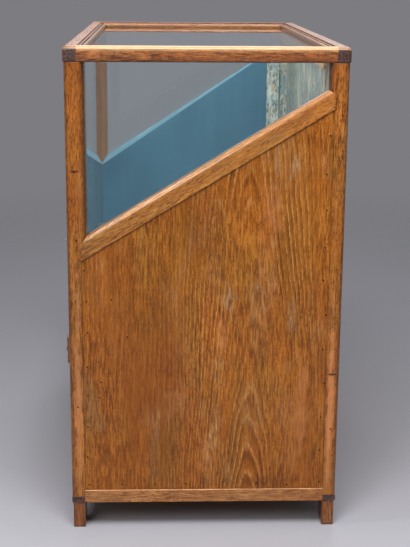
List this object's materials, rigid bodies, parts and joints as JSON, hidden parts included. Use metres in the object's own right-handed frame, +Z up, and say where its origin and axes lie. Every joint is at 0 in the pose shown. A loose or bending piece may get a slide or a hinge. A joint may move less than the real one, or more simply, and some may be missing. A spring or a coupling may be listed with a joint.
{
  "type": "display cabinet",
  "caption": "Free-standing glazed oak display cabinet: glass top, front and ends over panelled sides, lined display deck, sliding rear doors and a drop-down flap to a low store.",
  "frame": {"origin": "on the floor under the middle of the cabinet", "axes": "+X to the rear, +Y to the far end of the cabinet's length, +Z up"},
  "size_m": [0.525, 0.968, 0.92],
  "materials": {
    "oak": "worn waxed oak",
    "panel_oak": "worn waxed oak board",
    "plain_board": "unfinished softwood",
    "lined_board": "board with aged paper on its inner face",
    "dark_wood": "dark stained",
    "blue_cloth": "matt blue lining cloth",
    "glass": "clear old glass",
    "brass": "dull",
    "steel": "dull, aged"
  },
  "bodies": {
    "case": {"deck_board": "plain_board", "deck_cloth": "blue_cloth", "far_bottom_rail": "oak", "far_end_glass": "glass", "far_end_lining": "blue_cloth", "far_end_panel": "panel_oak", "far_sloping_rail": "oak", "far_top_bead": "oak", "far_top_rail": "oak", "flap_hinge_fixed_leaves": "steel", "flap_hinge_pins": "steel", "floor_board": "plain_board", "front_bottom_bearer": "oak", "front_far_leg": "oak", "front_far_post": "oak", "front_glass": "glass", "front_middle_rail": "oak", "front_near_leg": "oak", "front_near_post": "oak", "front_top_bead": "oak", "front_top_rail": "oak", "lower_door_track": "oak", "near_bottom_rail": "oak", "near_end_glass": "glass", "near_end_lining": "blue_cloth", "near_end_panel": "panel_oak", "near_sloping_rail": "oak", "near_top_bead": "oak", "near_top_rail": "oak", "rear_bottom_bearer": "oak", "rear_bottom_rail": "oak", "rear_far_leg": "oak", "rear_far_post": "oak", "rear_lower_panel": "plain_board", "rear_near_leg": "oak", "rear_near_post": "oak", "rear_top_bead": "oak", "rear_top_rail": "oak", "top_glass": "glass", "turn_button_screws": "steel", "upper_door_track": "oak"},
    "near_sliding_door": {"near_door_board": "lined_board", "near_door_bottom_rail": "oak", "near_door_inner_stile": "oak", "near_door_outer_stile": "oak", "near_door_pull": "brass", "near_door_top_rail": "oak"},
    "far_sliding_door": {"far_door_board": "lined_board", "far_door_bottom_rail": "oak", "far_door_inner_stile": "oak", "far_door_outer_stile": "oak", "far_door_pull": "brass", "far_door_top_rail": "oak"},
    "flap": {"flap_board": "oak", "flap_knob": "oak", "flap_hinge_moving_leaves": "steel"},
    "near_button": {"near_turn_button": "dark_wood"},
    "far_button": {"far_turn_button": "dark_wood"}
  },
  "joints": [
    {"name": "near_door_slide", "type": "slide", "parent": "case", "child": "near_sliding_door", "axis": [0, 1, 0], "range_m": [0, 0.362]},
    {"name": "far_door_slide", "type": "slide", "parent": "case", "child": "far_sliding_door", "axis": [0, -1, 0], "range_m": [0, 0.362]},
    {"name": "flap_hinge", "type": "hinge", "parent": "case", "child": "flap", "pos_m": [-0.258, 0, 0.065], "axis": [0, -1, 0], "range_deg": [0, 98]},
    {"name": "near_button_turn", "type": "hinge", "parent": "case", "child": "near_button", "pos_m": [-0.258, -0.44, 0.35], "axis": [1, 0, 0], "range_deg": [-90, 90]},
    {"name": "far_button_turn", "type": "hinge", "parent": "case", "child": "far_button", "pos_m": [-0.258, 0.44, 0.35], "axis": [1, 0, 0], "range_deg": [-90, 90]}
  ]
}
